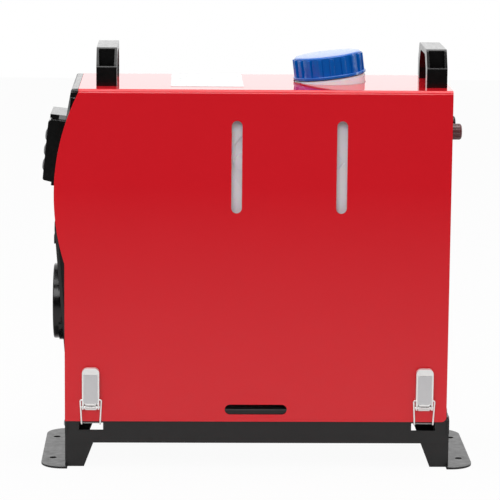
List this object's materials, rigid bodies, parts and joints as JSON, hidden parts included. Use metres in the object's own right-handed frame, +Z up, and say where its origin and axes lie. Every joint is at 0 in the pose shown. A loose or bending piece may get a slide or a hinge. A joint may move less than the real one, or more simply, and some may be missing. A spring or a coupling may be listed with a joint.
{
  "type": "diesel air heater",
  "caption": "Portable diesel air heater: latched red sheet-metal case on a black footed frame, blue fuel cap, two carry handles, control panel above a round warm-air outlet.",
  "frame": {"origin": "on the floor, under the middle of the part's box", "axes": "+X along the case towards the intake end, the warm-air outlet faces -X; +Y across the case; +Z up"},
  "size_m": [0.427, 0.16, 0.4107],
  "materials": {
    "red_cover": "gloss red powder coat over folded steel sheet",
    "black_paint": "satin black powder coat",
    "black_plastic": "fine-textured moulded black ABS",
    "blue_cap": "moulded blue polypropylene",
    "tank_plastic": "translucent natural polyethylene",
    "nickel": "bright nickel-plated steel",
    "plated_steel": "zinc-plated steel sheet",
    "cast_aluminium": "die-cast, as cast",
    "brass": "turned brass",
    "rubber": "black rubber and cable sheath",
    "screen": "smoked glossy window",
    "label": "bare pale film",
    "maroon_plastic": "moulded maroon insulator",
    "circuit_board": "green laminate",
    "gasket": "pressed fibre sheet"
  },
  "bodies": {
    "root": {"base_frame": "black_paint", "foot_bracket_left": "black_paint", "foot_bracket_right": "black_paint", "cover": "red_cover", "front_fascia": "black_plastic", "rear_panel": "black_plastic", "intake_grille": "black_plastic", "inner_frame": "plated_steel", "handle_left": "black_plastic", "handle_right": "black_plastic", "label_plate": "label", "fuel_tank": "tank_plastic", "controller_body": "black_plastic", "controller_screen": "screen", "outlet_ring": "black_plastic", "terminal_stud_positive": "brass", "terminal_stud_negative": "brass", "heater_stand": "plated_steel", "flange_gasket": "gasket", "heater_shell_lower": "black_plastic", "heater_shell_upper": "black_plastic", "outlet_duct": "black_plastic", "heat_exchanger": "cast_aluminium", "combustion_chamber": "plated_steel", "glow_plug": "plated_steel", "blower_housing": "cast_aluminium", "blower_motor": "plated_steel", "control_board": "circuit_board", "exhaust_pipe": "plated_steel", "air_intake_pipe": "black_plastic", "fuel_pump": "plated_steel", "pump_bracket": "rubber", "fuel_filter": "tank_plastic", "hose_tank_to_filter": "rubber", "hose_filter_to_pump": "rubber", "hose_pump_to_burner": "rubber", "power_harness": "rubber", "latch_base_front_left": "nickel", "latch_base_front_right": "nickel", "latch_base_back_left": "nickel", "latch_base_back_right": "nickel"},
    "fuel_cap": {"fuel_cap": "blue_cap"},
    "cap_liner": {"cap_liner": "rubber"},
    "button_up": {"button_up": "black_plastic"},
    "button_power": {"button_power": "black_plastic"},
    "button_down": {"button_down": "black_plastic"},
    "rotor": {"motor_shaft": "plated_steel", "fan_wheel": "black_plastic", "combustion_blower": "black_plastic"},
    "pump_plunger": {"pump_plunger": "plated_steel"},
    "knob_positive": {"terminal_knob_positive": "maroon_plastic"},
    "knob_negative": {"terminal_knob_negative": "black_plastic"},
    "lever_front_left": {"latch_lever_front_left": "nickel"},
    "bail_front_left": {"latch_bail_front_left": "nickel"},
    "lever_front_right": {"latch_lever_front_right": "nickel"},
    "bail_front_right": {"latch_bail_front_right": "nickel"},
    "lever_back_left": {"latch_lever_back_left": "nickel"},
    "bail_back_left": {"latch_bail_back_left": "nickel"},
    "lever_back_right": {"latch_lever_back_right": "nickel"},
    "bail_back_right": {"latch_bail_back_right": "nickel"}
  },
  "joints": [
    {"name": "cap_rise", "type": "slide", "parent": "root", "child": "cap_liner", "axis": [-0.1253, 0, 0.9921], "range_m": [0, 0.0102]},
    {"name": "cap_turn", "type": "hinge", "parent": "cap_liner", "child": "fuel_cap", "pos_m": [0.071, 0.011, 0.3799], "axis": [-0.1253, 0, 0.9921], "range_deg": [0, 720]},
    {"name": "lever_front_left", "type": "hinge", "parent": "root", "child": "lever_front_left", "pos_m": [-0.1638, -0.0764, 0.0615], "axis": [1, 0, 0], "range_deg": [0, 120]},
    {"name": "bail_front_left", "type": "hinge", "parent": "lever_front_left", "child": "bail_front_left", "pos_m": [-0.1638, -0.0756, 0.0685], "axis": [1, 0, 0], "range_deg": [-150, 0]},
    {"name": "lever_front_right", "type": "hinge", "parent": "root", "child": "lever_front_right", "pos_m": [0.1638, -0.0764, 0.0615], "axis": [1, 0, 0], "range_deg": [0, 120]},
    {"name": "bail_front_right", "type": "hinge", "parent": "lever_front_right", "child": "bail_front_right", "pos_m": [0.1638, -0.0756, 0.0685], "axis": [1, 0, 0], "range_deg": [-150, 0]},
    {"name": "lever_back_left", "type": "hinge", "parent": "root", "child": "lever_back_left", "pos_m": [-0.1638, 0.0764, 0.0615], "axis": [-1, 0, 0], "range_deg": [0, 120]},
    {"name": "bail_back_left", "type": "hinge", "parent": "lever_back_left", "child": "bail_back_left", "pos_m": [-0.1638, 0.0756, 0.0685], "axis": [-1, 0, 0], "range_deg": [-150, 0]},
    {"name": "lever_back_right", "type": "hinge", "parent": "root", "child": "lever_back_right", "pos_m": [0.1638, 0.0764, 0.0615], "axis": [-1, 0, 0], "range_deg": [0, 120]},
    {"name": "bail_back_right", "type": "hinge", "parent": "lever_back_right", "child": "bail_back_right", "pos_m": [0.1638, 0.0756, 0.0685], "axis": [-1, 0, 0], "range_deg": [-150, 0]},
    {"name": "button_up", "type": "slide", "parent": "root", "child": "button_up", "axis": [0.9947, 0, -0.1028], "range_m": [0, 0.0012], "stiffness_N_per_m": 350},
    {"name": "button_power", "type": "slide", "parent": "root", "child": "button_power", "axis": [0.9947, 0, -0.1028], "range_m": [0, 0.0012], "stiffness_N_per_m": 350},
    {"name": "button_down", "type": "slide", "parent": "root", "child": "button_down", "axis": [0.9947, 0, -0.1028], "range_m": [0, 0.0012], "stiffness_N_per_m": 350},
    {"name": "rotor_spin", "type": "hinge", "parent": "root", "child": "rotor", "pos_m": [0.1, 0, 0.1531], "axis": [1, 0, 0], "continuous": true},
    {"name": "plunger_stroke", "type": "slide", "parent": "root", "child": "pump_plunger", "axis": [0, 0, 1], "range_m": [0, 0.003], "stiffness_N_per_m": 400},
    {"name": "knob_positive", "type": "hinge", "parent": "root", "child": "knob_positive", "pos_m": [0.19, -0.031, 0.3298], "axis": [1, 0, 0], "continuous": true},
    {"name": "knob_negative", "type": "hinge", "parent": "root", "child": "knob_negative", "pos_m": [0.19, 0.031, 0.3298], "axis": [1, 0, 0], "continuous": true}
  ],
  "couplings": [
    {"joint": "cap_rise", "follows": "cap_turn", "m_per_rad": 0.00079577},
    {"joint": "bail_front_left", "follows": "lever_front_left", "ratio": -1.23},
    {"joint": "bail_front_right", "follows": "lever_front_right", "ratio": -1.23},
    {"joint": "bail_back_left", "follows": "lever_back_left", "ratio": -1.23},
    {"joint": "bail_back_right", "follows": "lever_back_right", "ratio": -1.23}
  ]
}
